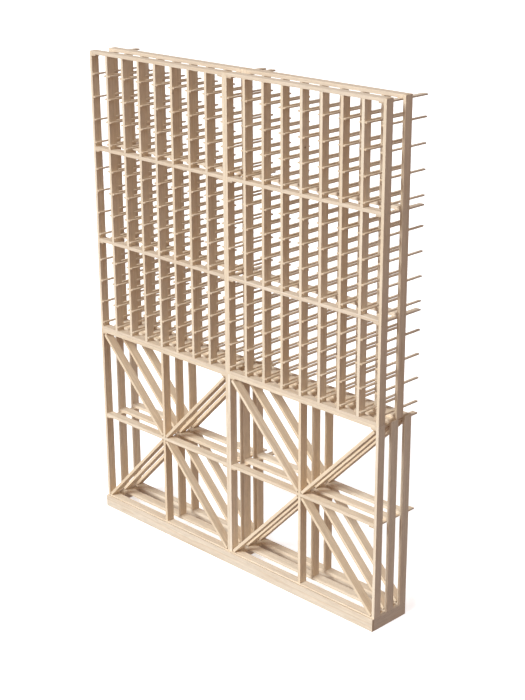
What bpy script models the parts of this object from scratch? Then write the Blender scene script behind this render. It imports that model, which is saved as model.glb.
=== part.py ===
"""Wine rack of unfinished pine: two identical modules side by side on one plinth.

Each module has three tiers of single-bottle cells above two rows of square bins with diagonal slats.
Metres. X runs along the rack, the front faces -Y and +Z is up. The origin is the middle of the
rack's footprint, on the floor.
"""

import math

import bmesh
import bpy
from mathutils import Vector

GAP = 0.0003

# Pine stock, planed to one section and laid flat or on edge.
STOCK = 0.0133
DEPTH = 0.037
DIAGONAL_THICKNESS = 0.0125

# Single-bottle cells.
COLUMNS = 8
CELL_WIDTH = 0.0855
PITCH = CELL_WIDTH + STOCK
ROWS = 4
ROW_PITCH = 0.09525
TIERS = 3
TIER_PITCH = 0.400
REAR_POST_Y = 0.103

# The sticks that carry the bottles, and the ties that join each front rail to its rear rail.
STICK_LENGTH = 0.241
STICK_WIDTH = 0.011
STICK_HEIGHT = 0.006
FIRST_STICK_RISE = 0.0155
TIE_WIDTH = 0.024
TIE_HEIGHT = 0.0063
TIE_LET_IN = 0.001

# Bins.
BIN_POST_PITCH = 0.0762
BIN_DEPTH = 2 * BIN_POST_PITCH + DEPTH
BIN_TOP = 0.8573
BIN_HEIGHT = 0.3872
SLAT_LET_IN = 0.001
UPPER_SLAT_CLEARANCE = 0.005
LOWER_SLAT_CLEARANCE = 0.0025
ANGLE_STEPS = 20

# Plinth.
FASCIA_THICKNESS = 0.011
PLINTH_HEIGHT = 0.053

MODULE_WIDTH = COLUMNS * PITCH + STOCK
FRONT_Y = (FASCIA_THICKNESS - STICK_LENGTH) / 2
MODULES = {"left": -MODULE_WIDTH - GAP / 2, "right": GAP / 2}

SHELF_Z = {
    "top": BIN_TOP - STOCK,
    "middle": BIN_TOP - 2 * STOCK - BIN_HEIGHT,
    "floor": BIN_TOP - 3 * STOCK - 2 * BIN_HEIGHT,
}
RAIL_Z = [BIN_TOP + tier * TIER_PITCH for tier in range(TIERS + 1)]
RACK_TOP = RAIL_Z[-1] + STOCK
UPPER_POSTS_Y = {"front": 0.0, "rear": REAR_POST_Y}
BIN_POSTS_Y = {"front": 0.0, "middle": BIN_POST_PITCH, "rear": 2 * BIN_POST_PITCH}

WOOD_COLOURS = {
    "ladder": (0.79, 0.64, 0.45),
    "rail": (0.82, 0.68, 0.49),
    "bin": (0.78, 0.62, 0.43),
    "diagonal": (0.74, 0.56, 0.37),
    "plinth": (0.83, 0.69, 0.50),
}


def clear_scene():
    for obj in list(bpy.data.objects):
        bpy.data.objects.remove(obj, do_unlink=True)


def new_collection(name):
    collection = bpy.data.collections.new(name)
    bpy.context.scene.collection.children.link(collection)
    return collection


def wood(name, kind):
    material = bpy.data.materials.new(name + "_wood")
    material.use_nodes = True
    shader = material.node_tree.nodes["Principled BSDF"]
    shader.inputs["Base Color"].default_value = (*WOOD_COLOURS[kind], 1)
    shader.inputs["Roughness"].default_value = 0.62
    shader.inputs["Metallic"].default_value = 0.0
    return material


def boards_mesh(name, boards):
    """One mesh holding a cuboid for each (low corner, high corner)."""
    bm = bmesh.new()
    for low, high in boards:
        for vert in bmesh.ops.create_cube(bm, size=1)["verts"]:
            vert.co = Vector(high[i] if vert.co[i] > 0 else low[i] for i in range(3))
    mesh = bpy.data.meshes.new(name)
    bm.to_mesh(mesh)
    bm.free()
    return mesh


def place(name, mesh, kind, location):
    """A finished piece in the rack's collection."""
    obj = bpy.data.objects.new(name, mesh.copy())
    obj.data.name = name
    obj.data.materials.clear()
    obj.data.materials.append(wood(name, kind))
    obj.location = location
    rack.objects.link(obj)
    return obj


def joined_mesh(name, base, added, cut=()):
    """The boards of base with those of added joined on and those of cut taken away."""
    body = bpy.data.objects.new(name, boards_mesh(name, base))
    helpers.objects.link(body)
    for operation, boards in (("UNION", added), ("DIFFERENCE", cut)):
        if not boards:
            continue
        tool = bpy.data.objects.new(f"{name}_{operation.lower()}", boards_mesh(name, boards))
        tool.display_type = "WIRE"
        tool.hide_render = True
        helpers.objects.link(tool)
        modifier = body.modifiers.new(operation, "BOOLEAN")
        modifier.operation = operation
        modifier.solver = "EXACT"
        modifier.object = tool
    bpy.context.view_layer.update()
    graph = bpy.context.evaluated_depsgraph_get()
    mesh = bpy.data.meshes.new_from_object(body.evaluated_get(graph))
    bpy.data.objects.remove(body, do_unlink=True)
    return mesh


def module_origin(side):
    return Vector((MODULES[side], FRONT_Y, 0))


# Ladders: a front post and a rear post joined by the sticks on their sides.


def stick_boards(x):
    """The sticks of one side of a ladder, one for each row of each tier."""
    boards = []
    for tier in range(TIERS):
        for row in range(ROWS):
            z = RAIL_Z[tier] + STOCK + FIRST_STICK_RISE + row * ROW_PITCH
            boards.append(((x, 0, z), (x + STICK_WIDTH, STICK_LENGTH, z + STICK_HEIGHT)))
    return boards


def post_notches():
    """Half-lap notches in the front half of both posts, for the rails of the inner tiers."""
    notches = []
    for y in UPPER_POSTS_Y.values():
        for rail_z in RAIL_Z[1:-1]:
            low = (-STOCK, y - DEPTH / 2, rail_z - GAP)
            high = (2 * STOCK, y + DEPTH / 2, rail_z + STOCK + GAP)
            notches.append((low, high))
    return notches


def ladder_mesh(name, stick_sides, bottom, top, notches=()):
    posts = []
    for y in UPPER_POSTS_Y.values():
        posts.append(((0, y, bottom), (STOCK, y + DEPTH, top)))
    sticks = []
    if "left" in stick_sides:
        sticks += stick_boards(-STICK_WIDTH)
    if "right" in stick_sides:
        sticks += stick_boards(STOCK)
    return joined_mesh(name, posts, sticks, notches)


def add_ladders():
    """The end posts run the whole height. Those between stand on the lowest rail and lap the others."""
    full = {"bottom": RAIL_Z[0] + GAP, "top": RACK_TOP}
    inner = {"bottom": RAIL_Z[0] + STOCK + GAP, "top": RAIL_Z[-1] - GAP}
    first = ladder_mesh("first_ladder", ("right",), **full)
    between = ladder_mesh("inner_ladder", ("left", "right"), **inner, notches=post_notches())
    last = ladder_mesh("last_ladder", ("left",), **full)
    for side in MODULES:
        for column in range(COLUMNS + 1):
            mesh = {0: first, COLUMNS: last}.get(column, between)
            location = module_origin(side) + Vector((column * PITCH, 0, 0))
            place(f"{side}_ladder_{column + 1}", mesh, "ladder", location)


# Rails and shelves: boards laid flat between the end posts.


def slat_boards(ys, z):
    """One board laid flat at each depth, from end post to end post."""
    left = STOCK + GAP
    right = MODULE_WIDTH - STOCK - GAP
    return [((left, y, z), (right, y + DEPTH, z + STOCK)) for y in ys]


def tie_boards(z, length):
    """A tie under each end of the slats, let into their undersides."""
    boards = []
    for x in (STOCK + GAP, MODULE_WIDTH - STOCK - GAP - TIE_WIDTH):
        low = (x, 0, z - TIE_HEIGHT)
        high = (x + TIE_WIDTH, length, z + TIE_LET_IN)
        boards.append((low, high))
    return boards


def rail_notches(z):
    """Half-lap notches in the rear half of both rails, for the posts between the ends."""
    notches = []
    for y in UPPER_POSTS_Y.values():
        for column in range(1, COLUMNS):
            x = column * PITCH
            low = (x - GAP, y + DEPTH / 2 - GAP, z - STOCK)
            high = (x + STOCK + GAP, y + 2 * DEPTH, z + 2 * STOCK)
            notches.append((low, high))
    return notches


def tier_frame_mesh(z, lapped):
    rails = slat_boards(UPPER_POSTS_Y.values(), z)
    notches = rail_notches(z) if lapped else ()
    return joined_mesh("tier_frame", rails, tie_boards(z, STICK_LENGTH), notches)


def add_tier_frames():
    names = ("lower_tier_frame", "upper_tier_frame", "top_frame")
    for name, z in zip(names, RAIL_Z[1:]):
        mesh = tier_frame_mesh(z, lapped=z != RAIL_Z[-1])
        for side in MODULES:
            place(f"{side}_{name}", mesh, "rail", module_origin(side))
    for place_name, y in UPPER_POSTS_Y.items():
        mesh = boards_mesh("bottom_rail", slat_boards((y,), RAIL_Z[0] + GAP))
        for side in MODULES:
            place(f"{side}_bottom_rail_{place_name}", mesh, "rail", module_origin(side))


def add_bin_frames():
    tie_lengths = {"top": STICK_LENGTH, "middle": STICK_LENGTH, "floor": BIN_DEPTH}
    for level, z in SHELF_Z.items():
        slats = slat_boards(BIN_POSTS_Y.values(), z)
        mesh = joined_mesh("bin_frame", slats, tie_boards(z, tie_lengths[level]))
        for side in MODULES:
            place(f"{side}_bin_{level}_frame", mesh, "bin", module_origin(side))


# Bins: end posts, and lattices made of a centre post with a diagonal slat on each side.


def add_bin_posts():
    post = ((0, 0, PLINTH_HEIGHT + GAP), (STOCK, DEPTH, BIN_TOP))
    mesh = boards_mesh("bin_post", (post,))
    for side in MODULES:
        for end, x in (("left", 0), ("right", MODULE_WIDTH - STOCK)):
            for depth, y in BIN_POSTS_Y.items():
                location = module_origin(side) + Vector((x, y, 0))
                place(f"{side}_bin_{end}_post_{depth}", mesh, "bin", location)


def slat_angle(run, rise):
    """The slope of a square-cut slat whose corners all touch a box of that run and rise."""
    angle = math.atan2(rise, run)
    for _ in range(ANGLE_STEPS):
        upright = rise - DIAGONAL_THICKNESS * math.cos(angle)
        angle = math.atan2(upright, run - DIAGONAL_THICKNESS * math.sin(angle))
    return angle


def lattice_outline(height, cut, clearance):
    """Points of a centre post with a slat rising each way from its foot.

    The slats are cut square to themselves. Their feet are let into the post a little, and their heads
    stop short of the end posts by clearance and below the post's top by cut.
    """
    half_post = STOCK / 2
    inner = half_post - SLAT_LET_IN
    outer = MODULE_WIDTH / 2 - STOCK - clearance
    rise = height - cut
    angle = slat_angle(outer - inner, rise)
    across = DIAGONAL_THICKNESS * math.sin(angle)
    upright = DIAGONAL_THICKNESS * math.cos(angle)
    right = [
        (half_post, 0),
        (half_post, upright - SLAT_LET_IN / math.tan(angle)),
        (inner + across, 0),
        (outer, rise - upright),
        (outer - across, rise),
        (half_post, upright + SLAT_LET_IN * math.tan(angle)),
        (half_post, height),
    ]
    return right + [(-x, z) for x, z in reversed(right)]


def lattice_mesh(outline, height, upside_down):
    """The lattice's flat outline, extruded to the depth of the stock."""
    curve = bpy.data.curves.new("lattice", "CURVE")
    curve.dimensions = "2D"
    curve.fill_mode = "BOTH"
    curve.extrude = DEPTH / 2
    spline = curve.splines.new("POLY")
    spline.points.add(len(outline) - 1)
    for point, (x, z) in zip(spline.points, outline):
        point.co = (x, height - z if upside_down else z, 0, 1)
    spline.use_cyclic_u = True
    flat = bpy.data.objects.new("lattice", curve)
    helpers.objects.link(flat)
    bpy.context.view_layer.update()
    graph = bpy.context.evaluated_depsgraph_get()
    mesh = bpy.data.meshes.new_from_object(flat.evaluated_get(graph))
    bpy.data.objects.remove(flat, do_unlink=True)
    bm = bmesh.new()
    bm.from_mesh(mesh)
    bmesh.ops.remove_doubles(bm, verts=bm.verts, dist=0.00001)
    for vert in bm.verts:
        vert.co = Vector((vert.co.x, DEPTH / 2 - vert.co.z, vert.co.y))
    bm.to_mesh(mesh)
    bm.free()
    return mesh


def add_lattices():
    height = BIN_HEIGHT - 2 * GAP
    upper = lattice_outline(height, TIE_HEIGHT, UPPER_SLAT_CLEARANCE)
    lower = lattice_outline(height, 0, LOWER_SLAT_CLEARANCE)
    rows = {
        "upper": (SHELF_Z["middle"], lattice_mesh(upper, height, upside_down=False)),
        "lower": (SHELF_Z["floor"], lattice_mesh(lower, height, upside_down=True)),
    }
    for side in MODULES:
        for row, (shelf_z, mesh) in rows.items():
            for depth, y in BIN_POSTS_Y.items():
                offset = Vector((MODULE_WIDTH / 2, y, shelf_z + STOCK + GAP))
                name = f"{side}_{row}_lattice_{depth}"
                place(name, mesh, "diagonal", module_origin(side) + offset)


# Plinth.


def add_plinth():
    """Sills under the end posts, tied by low rails, with one fascia across the front."""
    sills = []
    for module_x in MODULES.values():
        for x in (module_x, module_x + MODULE_WIDTH - STOCK):
            sills.append(((x, 0, 0), (x + STOCK, BIN_DEPTH, PLINTH_HEIGHT)))
    left = MODULES["left"]
    right = MODULES["right"] + MODULE_WIDTH
    rail_top = SHELF_Z["floor"] - TIE_HEIGHT - GAP
    rails = []
    for y in (GAP, BIN_DEPTH - STOCK - GAP):
        rails.append(((left + GAP, y, GAP), (right - GAP, y + STOCK, rail_top)))
    origin = Vector((0, FRONT_Y, 0))
    place("plinth_frame", joined_mesh("plinth_frame", sills, rails), "plinth", origin)
    fascia = ((left, -FASCIA_THICKNESS, 0), (right, -GAP, PLINTH_HEIGHT))
    place("plinth_fascia", boards_mesh("plinth_fascia", (fascia,)), "plinth", origin)


clear_scene()
rack = new_collection("wine_rack")
helpers = new_collection("cutters")
add_ladders()
add_tier_frames()
add_bin_frames()
add_bin_posts()
add_lattices()
add_plinth()
helpers.hide_render = True
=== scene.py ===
"""Wine rack of unfinished pine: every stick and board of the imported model, with eased edges, laps,
brads and grain of its own, on a plain pale floor in soft light.

Metres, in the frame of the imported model: X runs along the rack, the front faces -Y and +Z is up.
"""

import math
import random

import bmesh
import bpy
from mathutils import Matrix, Vector


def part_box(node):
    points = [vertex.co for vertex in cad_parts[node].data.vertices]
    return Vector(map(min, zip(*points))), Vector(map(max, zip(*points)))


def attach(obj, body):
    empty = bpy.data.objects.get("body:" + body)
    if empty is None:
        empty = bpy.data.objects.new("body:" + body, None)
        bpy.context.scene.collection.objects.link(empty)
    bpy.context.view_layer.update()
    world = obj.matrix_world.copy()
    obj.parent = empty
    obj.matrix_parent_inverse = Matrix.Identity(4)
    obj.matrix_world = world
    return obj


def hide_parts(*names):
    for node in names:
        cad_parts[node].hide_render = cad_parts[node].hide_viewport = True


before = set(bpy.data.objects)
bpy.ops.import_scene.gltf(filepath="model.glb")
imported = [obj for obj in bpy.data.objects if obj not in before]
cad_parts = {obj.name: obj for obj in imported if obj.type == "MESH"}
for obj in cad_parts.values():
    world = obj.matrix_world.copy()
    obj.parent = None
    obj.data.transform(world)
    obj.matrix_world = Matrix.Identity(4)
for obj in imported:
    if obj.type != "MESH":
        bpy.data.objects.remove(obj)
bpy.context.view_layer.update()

X, Y, Z = Vector((1, 0, 0)), Vector((0, 1, 0)), Vector((0, 0, 1))

# The stock and its spacing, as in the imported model.
GAP = 0.0003
STOCK = 0.0133
DEPTH = 0.037
DIAGONAL_THICKNESS = 0.0125
STICK_WIDTH = 0.011
STICK_HEIGHT = 0.006
TIE_WIDTH = 0.024
TIE_HEIGHT = 0.0063
COLUMNS = 8
ROWS = 4
ROW_PITCH = 0.09525
FIRST_STICK_RISE = 0.0155
REAR_POST_Y = 0.103
BIN_POST_PITCH = 0.0762
ANGLE_STEPS = 20

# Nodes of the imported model.
SIDES = ("left", "right")
BIN_LEVELS = ("top", "middle", "floor")
BIN_DEPTHS = ("front", "middle", "rear")

# Measures that both modules share, so read from the left one.
LAST_LADDER = COLUMNS + 1
LEFT_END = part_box("left_ladder_1")[0].x
RIGHT_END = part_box(f"left_ladder_{LAST_LADDER}")[1].x
PITCH = (RIGHT_END - LEFT_END - STOCK) / COLUMNS
LOWER_RAILS = ("left_bottom_rail_front", "left_lower_tier_frame", "left_upper_tier_frame")
RAIL_TOPS = [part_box(rail)[1].z for rail in LOWER_RAILS]
TOP_RAIL_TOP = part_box("left_top_frame")[1].z

# Where two boards of one piece touch, each is held this far back.
SEAM = 0.0001

# Arrises.
POST_EASE = 0.0008
STICK_EASE = 0.0006
FASCIA_EASE = 0.0012
EASE_SEGMENTS = 2

# A face this square to the grain, or more, is a sawn end.
END_FACING = 0.5

# How far a stick falls short of its full length, at most.
STICK_PLAY = 0.0006

# A board is sawn this far along a log, at most, and this far from its pith.
LOG_LENGTH = 40
NEAR_PITH, FAR_FROM_PITH = 0.02, 0.10

# Brads, whose heads stand a hair proud of the wood. Each ring has a height above the wood and a
# share of the radius.
BRAD_RADIUS = 0.0010
BRAD_RINGS = ((-0.0015, 1.0), (0.000048, 1.0), (0.00012, 0.6))
BRAD_SIDES = 8
BRAD_DRIFT = 0.005
RAIL_BRADS = (0.25, 0.75)  # shares of a post's depth


# Boards


class Timber:
    """The boards of one piece, gathered into one mesh with what their grain needs.

    Attributes: grain is a point in the log that the board was sawn from, with the pith along X;
    tone is the board's shade; end_cut marks its sawn ends and arris its eased edges.
    """

    def __init__(self, name):
        self.name = name
        self.dice = random.Random(name)
        self.points = []
        self.faces = []
        self.face_slots = []
        self.grain = []
        self.tone = []
        self.arris = []
        self.end_cut = []

    def board(self, outline, axis, low, high, along, ease=POST_EASE):
        """A board whose outline, in the plane across axis, runs from low to high on that axis."""
        bm = bmesh.new()
        foot = bm.faces.new([bm.verts.new(lifted(point, axis, low)) for point in outline])
        for made in bmesh.ops.extrude_face_region(bm, geom=[foot])["geom"]:
            if isinstance(made, bmesh.types.BMVert):
                made.co[axis] = high
        bmesh.ops.recalc_face_normals(bm, faces=bm.faces)
        bm.normal_update()
        eased = bmesh.ops.bevel(
            bm,
            geom=[edge for edge in bm.edges if edge.is_convex],
            offset=ease,
            segments=EASE_SEGMENTS,
            profile=0.5,
            affect="EDGES",
            clamp_overlap=True,
        )
        self.take(bm, along.normalized(), set(eased["faces"]))
        bm.free()

    def cuboid(self, low, high, along, ease=POST_EASE):
        outline = [(low[0], low[1]), (high[0], low[1]), (high[0], high[1]), (low[0], high[1])]
        self.board(outline, 2, low[2], high[2], along, ease)

    def take(self, bm, along, eased_faces):
        """Adds one board's mesh, sawn from a random place in a log."""
        bm.normal_update()
        first = len(self.points)
        middle = sum((vert.co for vert in bm.verts), Vector()) / len(bm.verts)
        across = along.cross(X if along.y else Y).normalized()
        through = along.cross(across)
        turn = self.dice.uniform(0, 2 * math.pi)
        place = self.dice.uniform(0, LOG_LENGTH)
        pith = Vector((place, self.dice.uniform(NEAR_PITH, FAR_FROM_PITH), 0))
        tone = self.dice.random()
        bm.verts.index_update()
        for vert in bm.verts:
            offset = vert.co - middle
            section = Matrix.Rotation(turn, 2) @ Vector((offset.dot(across), offset.dot(through)))
            self.points.append(vert.co.copy())
            self.grain.append(pith + Vector((offset.dot(along), section.x, section.y)))
            self.tone.append(tone)
            self.arris.append(float(all(face in eased_faces for face in vert.link_faces)))
        for face in bm.faces:
            self.faces.append([first + vert.index for vert in face.verts])
            self.face_slots.append(0)
            sawn = float(abs(face.normal.dot(along)) > END_FACING)
            self.end_cut += [sawn] * len(face.verts)

    def brad(self, place, facing):
        """The head and the top of the shank of a brad, driven level against facing."""
        side = facing.cross(Z)
        other = facing.cross(side)
        first = len(self.points)
        for height, share in BRAD_RINGS:
            for i in range(BRAD_SIDES):
                angle = 2 * math.pi * i / BRAD_SIDES
                spoke = side * math.cos(angle) + other * math.sin(angle)
                self.points.append(Vector(place) + facing * height + spoke * BRAD_RADIUS * share)
        made = len(self.points) - first
        self.grain += [Vector()] * made
        self.tone += [0.5] * made
        self.arris += [0.0] * made
        faces = [[first + i for i in reversed(range(BRAD_SIDES))]]
        for base in range(first, first + made - BRAD_SIDES, BRAD_SIDES):
            for i in range(BRAD_SIDES):
                j = (i + 1) % BRAD_SIDES
                faces.append([base + i, base + j, base + j + BRAD_SIDES, base + i + BRAD_SIDES])
        faces.append([first + made - BRAD_SIDES + i for i in range(BRAD_SIDES)])
        for face in faces:
            self.faces.append(face)
            self.face_slots.append(1)
            self.end_cut += [0.0] * len(face)

    def finished(self, node, slot):
        """The piece, which stands for that CAD node."""
        mesh = bpy.data.meshes.new(self.name)
        mesh.from_pydata(self.points, [], self.faces)
        write_attribute(mesh, "grain", "FLOAT_VECTOR", "POINT", self.grain)
        write_attribute(mesh, "tone", "FLOAT", "POINT", self.tone)
        write_attribute(mesh, "arris", "FLOAT", "POINT", self.arris)
        write_attribute(mesh, "end_cut", "FLOAT", "CORNER", self.end_cut)
        mesh.materials.append(PINE[slot])
        if any(self.face_slots):
            mesh.materials.append(BRAD_STEEL)
        mesh.polygons.foreach_set("material_index", self.face_slots)
        mesh.polygons.foreach_set("use_smooth", [True] * len(self.faces))
        piece = bpy.data.objects.new(self.name, mesh)
        bpy.context.scene.collection.objects.link(piece)
        weighted = piece.modifiers.new("flat_faces", "WEIGHTED_NORMAL")
        weighted.mode = "FACE_AREA"
        weighted.weight = 100
        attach(piece, "root")
        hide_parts(node)


def write_attribute(mesh, name, kind, domain, values):
    attribute = mesh.attributes.new(name, kind, domain)
    if kind == "FLOAT_VECTOR":
        attribute.data.foreach_set("vector", [x for value in values for x in value])
    else:
        attribute.data.foreach_set("value", values)


def lifted(point, axis, height):
    """A point of an outline, placed at that height on the axis."""
    place = list(point)
    place.insert(axis, height)
    return Vector(place)


# The pieces


def post_outline(low_y, low_z, high_z, notched):
    """A post seen from its side, with its front half notched for the inner tiers' rails."""
    front, middle = low_y, low_y + DEPTH / 2
    points = [(front, low_z)]
    for top in RAIL_TOPS[1:] if notched else ():
        below, above = top - STOCK - GAP, top + GAP
        points += [(front, below), (middle, below), (middle, above), (front, above)]
    return points + [(front, high_z), (low_y + DEPTH, high_z), (low_y + DEPTH, low_z)]


def add_ladder(side, number):
    """A front and a rear post, with sticks on each side that faces a column."""
    name = f"{side}_ladder_{number}"
    low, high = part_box(name)
    timber = Timber(name + "_timber")
    between = 1 < number < LAST_LADDER
    left = low.x + (STICK_WIDTH if number > 1 else 0)
    right = left + STOCK
    post_ys = (low.y, low.y + REAR_POST_Y)
    for y in post_ys:
        timber.board(post_outline(y, low.z, high.z, between), 0, left, right, Z)
    if number > 1:
        add_sticks(timber, left - STICK_WIDTH, left - SEAM, -X, low.y, high.y)
    if number < LAST_LADDER:
        add_sticks(timber, right + SEAM, right + STICK_WIDTH, X, low.y, high.y)
    if not between:
        face_x, outside = (left, -X) if number == 1 else (right, X)
        add_rail_brads(timber, face_x, post_ys, (*RAIL_TOPS, TOP_RAIL_TOP), outside)
    timber.finished(name, "ladder_pine")


def add_sticks(timber, left, right, facing, front, rear):
    """The sticks of one side of a ladder, with a brad through each into each post."""
    face_x = right if facing.x > 0 else left
    for rail_top in RAIL_TOPS:
        for row in range(ROWS):
            z = rail_top + FIRST_STICK_RISE + row * ROW_PITCH
            start = front + timber.dice.uniform(0, STICK_PLAY)
            end = rear - timber.dice.uniform(0, STICK_PLAY)
            timber.cuboid((left, start, z), (right, end, z + STICK_HEIGHT), Y, STICK_EASE)
            for post_y in (front, front + REAR_POST_Y):
                y = post_y + DEPTH / 2 + timber.dice.uniform(-BRAD_DRIFT, BRAD_DRIFT)
                timber.brad((face_x, y, z + STICK_HEIGHT / 2), facing)


def add_rail_brads(timber, face_x, post_ys, rail_tops, outside):
    """Two brads through each end post into the end of each rail or shelf slat."""
    for rail_top in rail_tops:
        for y in post_ys:
            for share in RAIL_BRADS:
                timber.brad((face_x, y + share * DEPTH, rail_top - STOCK / 2), outside)


def rail_outline(low, high, y, notched):
    """A rail seen from above, with its rear half notched for the posts between the ends."""
    middle, rear = y + DEPTH / 2, y + DEPTH
    points = [(low, y), (high, y), (high, rear)]
    for column in reversed(range(1, COLUMNS)) if notched else ():
        left = low - STOCK - GAP + column * PITCH - GAP
        right = left + STOCK + 2 * GAP
        points += [(right, rear), (right, middle), (left, middle), (left, rear)]
    return points + [(low, rear)]


def add_slats(node, slot, ys, notched=False, tied=True):
    """Boards laid flat from end post to end post, on a tie under each end if tied."""
    low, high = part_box(node)
    timber = Timber(node + "_timber")
    for y in ys:
        outline = rail_outline(low.x, high.x, low.y + y, notched)
        timber.board(outline, 2, high.z - STOCK, high.z, X)
    for x in (low.x, high.x - TIE_WIDTH) if tied else ():
        corner = (x + TIE_WIDTH, high.y, high.z - STOCK - SEAM)
        timber.cuboid((x, low.y, high.z - STOCK - TIE_HEIGHT), corner, Y, STICK_EASE)
    timber.finished(node, slot)


def add_post(side, end, depth):
    """An end post of the bins."""
    node = f"{side}_bin_{end}_post_{depth}"
    low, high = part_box(node)
    timber = Timber(node + "_timber")
    timber.cuboid(low, high, Z)
    face_x, outside = (low.x, -X) if end == "left" else (high.x, X)
    slat_tops = [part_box(f"left_bin_{level}_frame")[1].z for level in BIN_LEVELS]
    add_rail_brads(timber, face_x, (low.y,), slat_tops, outside)
    timber.finished(node, "bin_pine")


def slat_angle(run, rise):
    """The slope of a square-cut slat whose corners all touch a box of that run and rise."""
    angle = math.atan2(rise, run)
    for _ in range(ANGLE_STEPS):
        upright = rise - DIAGONAL_THICKNESS * math.cos(angle)
        angle = math.atan2(upright, run - DIAGONAL_THICKNESS * math.sin(angle))
    return angle


def add_lattice(node, upside_down):
    """A centre post with a square-cut slat up each way from its foot, or down from its top."""
    low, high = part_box(node)
    timber = Timber(node + "_timber")
    middle = (low.x + high.x) / 2
    half = STOCK / 2
    timber.cuboid((middle - half, low.y, low.z), (middle + half, high.y, high.z), Z)
    rise = high.z - low.z - (0 if upside_down else TIE_HEIGHT)
    outer = (high.x - low.x) / 2
    inner = half + SEAM
    angle = slat_angle(outer - inner, rise)
    across = DIAGONAL_THICKNESS * math.sin(angle)
    upright = DIAGONAL_THICKNESS * math.cos(angle)
    slat = [(inner + across, 0), (outer, rise - upright), (outer - across, rise), (inner, upright)]
    foot_z, up = (high.z, -1) if upside_down else (low.z, 1)
    for hand in (1, -1):
        outline = [(middle + hand * x, foot_z + up * z) for x, z in slat]
        along = Vector((hand * math.cos(angle), 0, up * math.sin(angle)))
        timber.board(outline, 1, low.y, high.y, along)
    timber.finished(node, "diagonal_pine")


def add_plinth():
    """The fascia, and the frame behind it: sills under the end posts and low rails between."""
    fascia = Timber("plinth_fascia_timber")
    fascia.cuboid(*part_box("plinth_fascia"), X, FASCIA_EASE)
    fascia.finished("plinth_fascia", "plinth_pine")
    low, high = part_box("plinth_frame")
    timber = Timber("plinth_frame_timber")
    sills = []
    for side in SIDES:
        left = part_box(f"{side}_ladder_1")[0].x
        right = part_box(f"{side}_ladder_{LAST_LADDER}")[1].x
        sills += [left, right - STOCK]
    for x in sills:
        timber.cuboid((x, low.y, low.z), (x + STOCK, high.y, high.z), Y)
    rail_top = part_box("left_bin_floor_frame")[0].z - GAP
    for left, right in zip(sills, sills[1:]):
        if right - left > 2 * STOCK:
            for y in (low.y + GAP, high.y - STOCK - GAP):
                corner = (right - SEAM, y + STOCK, rail_top)
                timber.cuboid((left + STOCK + SEAM, y, low.z + GAP), corner, X)
    timber.finished("plinth_frame", "plinth_pine")


def add_module(side):
    for number in range(1, LAST_LADDER + 1):
        add_ladder(side, number)
    for depth in ("front", "rear"):
        add_slats(f"{side}_bottom_rail_{depth}", "rail_pine", (0,), tied=False)
    for level in ("lower_tier", "upper_tier", "top"):
        ys = (0, REAR_POST_Y)
        add_slats(f"{side}_{level}_frame", "rail_pine", ys, notched=level != "top")
    for level in BIN_LEVELS:
        ys = (0, BIN_POST_PITCH, 2 * BIN_POST_PITCH)
        add_slats(f"{side}_bin_{level}_frame", "bin_pine", ys)
    for depth in BIN_DEPTHS:
        add_post(side, "left", depth)
        add_post(side, "right", depth)
        add_lattice(f"{side}_upper_lattice_{depth}", False)
        add_lattice(f"{side}_lower_lattice_{depth}", True)


# Materials


class Tree:
    """Short calls for building a node tree."""

    def __init__(self, tree):
        self.tree = tree
        self.nodes = tree.nodes
        self.nodes.clear()

    def node(self, kind, inputs=(), **settings):
        made = self.nodes.new("ShaderNode" + kind)
        for key, value in settings.items():
            setattr(made, key, value)
        for key, value in dict(inputs).items():
            self.put(made.inputs[key], value)
        return made

    def put(self, socket, value):
        if isinstance(value, bpy.types.NodeSocket):
            self.tree.links.new(value, socket)
        else:
            socket.default_value = value

    def maths(self, operation, *values, clamp=False):
        made = self.node("Math", operation=operation, use_clamp=clamp)
        for socket, value in zip(made.inputs, values):
            self.put(socket, value)
        return made.outputs[0]

    def vector(self, operation, *values, output=0):
        made = self.node("VectorMath", operation=operation)
        for socket, value in zip(made.inputs, values):
            self.put(socket, value)
        return made.outputs[output]

    def scaled(self, colour, share):
        made = self.node("VectorMath", {0: colour, "Scale": share}, operation="SCALE")
        return made.outputs[0]

    def noise(self, vector, scales, detail=2.0):
        """Noise from 0 to 1, with so many cycles a metre along each axis."""
        place = self.vector("MULTIPLY", vector, scales)
        inputs = {"Vector": place, "Scale": 1.0, "Detail": detail, "Roughness": 0.5}
        return self.node("TexNoise", inputs).outputs[0]

    def spread(self, value, low, high, to_low, to_high, smooth=True):
        """The value from low to high, spread from to_low to to_high."""
        ends = {"From Min": low, "From Max": high, "To Min": to_low, "To Max": to_high}
        kind = "SMOOTHSTEP" if smooth else "LINEAR"
        return self.node("MapRange", {"Value": value, **ends}, interpolation_type=kind).outputs[0]

    def mix(self, share, first, second, blend="MIX"):
        made = self.node("Mix", data_type="RGBA", blend_type=blend)
        self.put(made.inputs["Factor"], share)
        for key, value in (("A", first), ("B", second)):
            socket = next(s for s in made.inputs if s.name == key and s.type == "RGBA")
            self.put(socket, (*value, 1) if isinstance(value, tuple) else value)
        return next(s for s in made.outputs if s.type == "RGBA")

    def curve(self, value, stops):
        """A grey ramp through (place, value) stops."""
        made = self.node("ValToRGB", {"Fac": value})
        ramp = made.color_ramp
        while len(ramp.elements) < len(stops):
            ramp.elements.new(1.0)
        for element, (place, shade) in zip(ramp.elements, stops):
            element.position = place
            element.color = (shade, shade, shade, 1)
        return made.outputs[0]

    def finish(self, shader):
        output = self.node("OutputMaterial")
        self.tree.links.new(shader.outputs[0], output.inputs[0])


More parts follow.
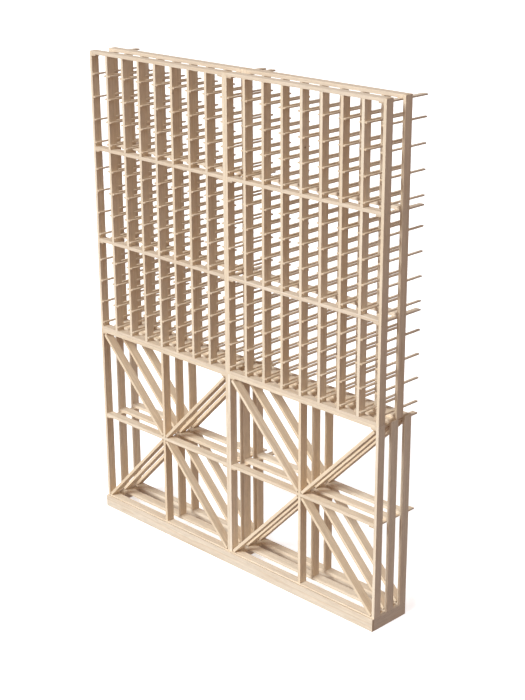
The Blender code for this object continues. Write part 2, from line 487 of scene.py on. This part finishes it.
# Cycles of noise in a metre: along the grain, then twice across it.
SWAY = (1.3, 9, 9)
SHIVER = (9, 60, 60)
BLOTCHES = (4.0, 14, 14)
STREAKS = (3.5, 170, 170)
MOTTLE = (34, 120, 120)
HAIRS = (14, 1500, 1500)
PORES = (60, 1900, 1900)
RUBBING_AND_HIGHLIGHT = (20, 200, 200)
KNOT_EDGE = (300, 300, 300)
BROWNING = (700, 700, 700)

# Growth rings, and how far they stray, in metres.
RING_SPACING = 0.0031
SWAY_REACH = 0.016
SHIVER_REACH = 0.0016
KNOT_PUSH = 0.0035
UNEVEN_CYCLES = 90.0
UNEVEN_REACH = 0.004
RING_PROFILE = ((0.0, 0.0), (0.42, 0.10), (0.72, 0.55), (0.88, 1.0), (1.0, 0.15))

# Pin knots: cells in a metre, the share of cells that hold one, and its radius.
KNOT_CELLS = (2.6, 15.0, 15.0)
KNOT_SHARE = 0.55
KNOT_RADIUS = 0.0034

# Spreads: from a low and a high value of one thing to a low and a high value of another.
KNOT_WOBBLE = (0.3, 0.7, 0.85, 1.2)
KNOT_FADE = (0.75, 1.05, 1.0, 0.0)
RIM_FADE = (0.8, 2.4, 1.0, 0.0)
YEAR_STRENGTHS = (0, 1, 0.35, 1.0)
PORE_ONSET = (0.64, 0.74, 0, 1)
BLOTCH_WARMTH = (0.42, 0.75, 0, 0.35)
STREAK_SHADES = (0.25, 0.75, 0.91, 1.07)
HAIR_SHADES = (0.2, 0.8, 0.94, 1.06)
MOTTLE_SHADES = (0.25, 0.75, 0.93, 1.07)
PORE_SHADES = (0, 1, 1.0, 0.90)
ARRIS_RUBBING_AND_HIGHLIGHT = (0.3, 0.7, 0.1, 0.6)
HAIR_ROUGHNESS = (0.2, 0.8, 0.52, 0.68)
STEEL_BROWNING = (0.35, 0.7, 0, 1)

# Colours, and how much of each shows where it is strongest.
LATEWOOD, RING_STRENGTH = (0.60, 0.40, 0.22), 0.52
END_GRAIN, END_GRAIN_STRENGTH = (0.80, 0.72, 0.63), 0.8
KNOT_RIM, KNOT_RIM_STRENGTH = (0.42, 0.25, 0.13), 0.35
KNOT, KNOT_STRENGTH = (0.20, 0.10, 0.05), 0.85
# How much paler the eased edges are painted: burnished wear and a painted highlight.
RUBBED_AND_HIGHLIT_PALER = 1.06
STEEL, BROWNED_STEEL = (0.30, 0.29, 0.28), (0.22, 0.15, 0.10)

# Surfaces. The heights are shares of the bump's depth, which is in metres.
PINE_SPECULAR = 0.35
END_ROUGHER = 0.12
LATEWOOD_SMOOTHER = 0.06
BUMP_STRENGTH = 0.35
BUMP_DEPTH = 0.0005
HAIR_HEIGHT = 0.55
LATEWOOD_HEIGHT = 0.35
STREAK_HEIGHT = 0.6
PORE_HOLLOW = 0.5
STEEL_ROUGHNESS = 0.42


def new_material(name):
    material = bpy.data.materials.new(name)
    material.use_nodes = True
    return material, Tree(material.node_tree)


def pin_knots(t, grain):
    """How much of a pin knot there is, and how much of the disturbed grain round one.

    The knots are some of the points of a sparse Voronoi pattern, measured back in metres.
    """
    cells = t.node("TexVoronoi", {"Vector": t.vector("MULTIPLY", grain, KNOT_CELLS), "Scale": 1.0})
    centre = t.vector("DIVIDE", cells.outputs["Position"], KNOT_CELLS)
    reach = t.vector("DISTANCE", grain, centre, output=1)
    lot = t.node("SeparateColor", {"Color": cells.outputs["Color"]}).outputs[0]
    kept = t.maths("LESS_THAN", lot, KNOT_SHARE)
    wobble = t.spread(t.noise(grain, KNOT_EDGE), *KNOT_WOBBLE)
    distance = t.maths("DIVIDE", t.maths("DIVIDE", reach, KNOT_RADIUS), wobble)
    knot = t.maths("MULTIPLY", kept, t.spread(distance, *KNOT_FADE))
    rim = t.maths("MULTIPLY", kept, t.spread(distance, *RIM_FADE))
    return knot, rim


def growth_rings(t, grain, knot_rim):
    """How much latewood there is, in rings round the pith that stray and bend round the knots."""
    parts = t.node("SeparateXYZ", {"Vector": grain})
    squares = [t.maths("MULTIPLY", part, part) for part in parts.outputs[1:]]
    radius = t.maths("SQRT", t.maths("ADD", *squares))
    sway = t.maths("MULTIPLY", t.noise(grain, SWAY), SWAY_REACH)
    shiver = t.maths("MULTIPLY", t.noise(grain, SHIVER), SHIVER_REACH)
    pushed = t.maths("MULTIPLY", knot_rim, KNOT_PUSH)
    radius = t.maths("ADD", t.maths("ADD", radius, sway), t.maths("ADD", shiver, pushed))
    inputs = {"W": radius, "Scale": UNEVEN_CYCLES, "Detail": 1.0}
    uneven = t.node("TexNoise", inputs, noise_dimensions="1D").outputs[0]
    radius = t.maths("ADD", radius, t.maths("MULTIPLY", uneven, UNEVEN_REACH))
    phase = t.maths("DIVIDE", radius, RING_SPACING)
    ring = t.curve(t.maths("FRACT", phase), RING_PROFILE)
    year = t.node("TexWhiteNoise", {"W": t.maths("FLOOR", phase)}, noise_dimensions="1D")
    strength = t.spread(year.outputs[0], *YEAR_STRENGTHS, smooth=False)
    return t.maths("MULTIPLY", ring, strength)


def pine(name, pale, deep):
    """Planed pine: growth rings round the pith of each board's log, fibres, pin knots, end grain.

    A board's colour lies between pale and deep, by its tone.
    """
    material, t = new_material(name)
    grain = t.node("Attribute", attribute_name="grain").outputs["Vector"]
    tone = t.node("Attribute", attribute_name="tone").outputs["Fac"]
    end_cut = t.node("Attribute", attribute_name="end_cut").outputs["Fac"]
    arris = t.node("Attribute", attribute_name="arris").outputs["Fac"]

    knot, knot_rim = pin_knots(t, grain)
    ring = growth_rings(t, grain, knot_rim)
    blotches = t.noise(grain, BLOTCHES)
    streaks = t.noise(grain, STREAKS, detail=3)
    mottle = t.noise(grain, MOTTLE, detail=3)
    hairs = t.noise(grain, HAIRS)
    pores = t.spread(t.noise(grain, PORES, detail=1), *PORE_ONSET)

    colour = t.mix(tone, pale, deep)
    warm = t.spread(blotches, *BLOTCH_WARMTH)
    colour = t.mix(warm, colour, tuple((a + b) / 2 for a, b in zip(deep, LATEWOOD)))
    colour = t.mix(t.maths("MULTIPLY", ring, RING_STRENGTH), colour, LATEWOOD)
    shade = t.spread(streaks, *STREAK_SHADES, smooth=False)
    shade = t.maths("MULTIPLY", shade, t.spread(hairs, *HAIR_SHADES, smooth=False))
    shade = t.maths("MULTIPLY", shade, t.spread(mottle, *MOTTLE_SHADES, smooth=False))
    shade = t.maths("MULTIPLY", shade, t.spread(pores, *PORE_SHADES))
    colour = t.scaled(colour, shade)
    ends = t.mix(1.0, colour, END_GRAIN, "MULTIPLY")
    colour = t.mix(t.maths("MULTIPLY", end_cut, END_GRAIN_STRENGTH), colour, ends)
    # Eased edges painted paler in patches: partly burnished wear, partly a painted highlight along
    # each arris.
    rubbed_and_highlight = t.maths("MULTIPLY", arris, t.spread(t.noise(grain, RUBBING_AND_HIGHLIGHT), *ARRIS_RUBBING_AND_HIGHLIGHT))
    colour = t.mix(rubbed_and_highlight, colour, tuple(min(1.0, RUBBED_AND_HIGHLIT_PALER * x) for x in pale))
    colour = t.mix(t.maths("MULTIPLY", knot_rim, KNOT_RIM_STRENGTH), colour, KNOT_RIM)
    colour = t.mix(t.maths("MULTIPLY", knot, KNOT_STRENGTH), colour, KNOT)

    rough = t.spread(hairs, *HAIR_ROUGHNESS, smooth=False)
    rough = t.maths("ADD", rough, t.maths("MULTIPLY", end_cut, END_ROUGHER))
    rough = t.maths("SUBTRACT", rough, t.maths("MULTIPLY", ring, LATEWOOD_SMOOTHER), clamp=True)

    height = t.maths("MULTIPLY", hairs, HAIR_HEIGHT)
    height = t.maths("ADD", height, t.maths("MULTIPLY", ring, LATEWOOD_HEIGHT))
    height = t.maths("ADD", height, t.maths("MULTIPLY", streaks, STREAK_HEIGHT))
    height = t.maths("SUBTRACT", height, t.maths("MULTIPLY", pores, PORE_HOLLOW))
    bump = t.node("Bump", {"Height": height, "Strength": BUMP_STRENGTH, "Distance": BUMP_DEPTH})

    inputs = {"Base Color": colour, "Roughness": rough, "Normal": bump.outputs[0]}
    shader = t.node("BsdfPrincipled", inputs)
    shader.inputs["Specular IOR Level"].default_value = PINE_SPECULAR
    t.finish(shader)
    return material


def brad_steel():
    """Dull wire, a little browned."""
    material, t = new_material("brad_steel")
    place = t.node("TexCoord").outputs["Object"]
    browned = t.spread(t.noise(place, BROWNING), *STEEL_BROWNING)
    shader = t.node("BsdfPrincipled", {"Base Color": t.mix(browned, STEEL, BROWNED_STEEL)})
    shader.inputs["Roughness"].default_value = STEEL_ROUGHNESS
    t.finish(shader)
    return material


PINE = {
    "ladder_pine": pine("ladder_pine", (0.845, 0.725, 0.57), (0.785, 0.645, 0.48)),
    "rail_pine": pine("rail_pine", (0.785, 0.68, 0.555), (0.735, 0.61, 0.47)),
    "bin_pine": pine("bin_pine", (0.845, 0.73, 0.58), (0.78, 0.645, 0.485)),
    "diagonal_pine": pine("diagonal_pine", (0.85, 0.71, 0.535), (0.785, 0.63, 0.445)),
    "plinth_pine": pine("plinth_pine", (0.775, 0.67, 0.54), (0.74, 0.62, 0.48)),
}
BRAD_STEEL = brad_steel()


# The stage

# The floor is a disc, and the cove is the curve round it that rises into a wall.
FLOOR_RADIUS = 14
FLOOR_SEGMENTS = 96
COVE = 12
COVE_STEPS = 24
FLOOR_COLOUR = (0.93, 0.92, 0.92, 1)
FLOOR_ROUGHNESS = 0.9
FLOOR_GLOW = 0.62

# Suns: which way their light goes, its strength and colour, and how wide they are, in degrees.
SUNS = {
    "key": ((0.06, 0.68, -0.45), 3.62, (0.91, 0.97, 1.0), 22),
    "back": ((-0.3, -0.8, -0.5), 0.45, (0.90, 0.97, 1.0), 30),
}
WORLD_COLOUR = (1.0, 0.815, 0.78, 1)
WORLD_STRENGTH = 0.33

CAMERA_PLACE = (4.0555, -3.9719, 2.9762)
CAMERA_TURN = (1.22456, 0.00403, 0.78378)
CAMERA_LENS = 76.04


def add_sun(name, towards, strength, colour, spread):
    lamp = bpy.data.lights.new(name, "SUN")
    lamp.energy = strength
    lamp.color = colour
    lamp.angle = math.radians(spread)
    sun = bpy.data.objects.new(name, lamp)
    bpy.context.scene.collection.objects.link(sun)
    sun.rotation_mode = "QUATERNION"
    sun.rotation_quaternion = Vector(towards).to_track_quat("-Z", "Y")


def add_world():
    world = bpy.data.worlds.new("studio")
    bpy.context.scene.world = world
    world.use_nodes = True
    background = world.node_tree.nodes["Background"]
    background.inputs["Color"].default_value = WORLD_COLOUR
    background.inputs["Strength"].default_value = WORLD_STRENGTH


def floor_mesh():
    """A disc that curves up into a wall all round."""
    bm = bmesh.new()
    disc = bmesh.ops.create_circle(bm, cap_ends=True, radius=FLOOR_RADIUS, segments=FLOOR_SEGMENTS)
    lower = disc["verts"]
    for step in range(1, COVE_STEPS + 1):
        turn = math.radians(90) * step / COVE_STEPS
        radius = FLOOR_RADIUS + COVE * math.sin(turn)
        height = COVE * (1 - math.cos(turn))
        upper = []
        for i in range(FLOOR_SEGMENTS):
            spoke = 2 * math.pi * i / FLOOR_SEGMENTS
            place = (-radius * math.sin(spoke), radius * math.cos(spoke), height)
            upper.append(bm.verts.new(place))
        for i in range(FLOOR_SEGMENTS):
            j = (i + 1) % FLOOR_SEGMENTS
            bm.faces.new((lower[i], lower[j], upper[j], upper[i]))
        lower = upper
    mesh = bpy.data.meshes.new("floor")
    bm.to_mesh(mesh)
    bm.free()
    mesh.polygons.foreach_set("use_smooth", [len(face.vertices) == 4 for face in mesh.polygons])
    return mesh


def add_floor():
    """A pale floor with no horizon. It lights nothing, and glows enough to soften its shadows."""
    mesh = floor_mesh()
    floor = bpy.data.objects.new("floor", mesh)
    bpy.context.scene.collection.objects.link(floor)
    material = bpy.data.materials.new("floor")
    material.use_nodes = True
    shader = material.node_tree.nodes["Principled BSDF"]
    shader.inputs["Base Color"].default_value = FLOOR_COLOUR
    shader.inputs["Roughness"].default_value = FLOOR_ROUGHNESS
    shader.inputs["Specular IOR Level"].default_value = 0.0
    shader.inputs["Emission Color"].default_value = (1, 1, 1, 1)
    shader.inputs["Emission Strength"].default_value = FLOOR_GLOW
    mesh.materials.append(material)
    floor.visible_diffuse = False
    floor.visible_glossy = False
    floor.visible_shadow = False


def add_camera():
    camera = bpy.data.cameras.new("camera")
    camera.lens = CAMERA_LENS
    camera.clip_end = 4 * (FLOOR_RADIUS + COVE)  # past the far wall from any side
    obj = bpy.data.objects.new("camera", camera)
    bpy.context.scene.collection.objects.link(obj)
    obj.location = CAMERA_PLACE
    obj.rotation_euler = CAMERA_TURN
    bpy.context.scene.camera = obj


for side in SIDES:
    add_module(side)
add_plinth()

add_world()
add_floor()
for name, sun in SUNS.items():
    add_sun(name, *sun)
add_camera()
bpy.context.scene.view_settings.view_transform = "Standard"
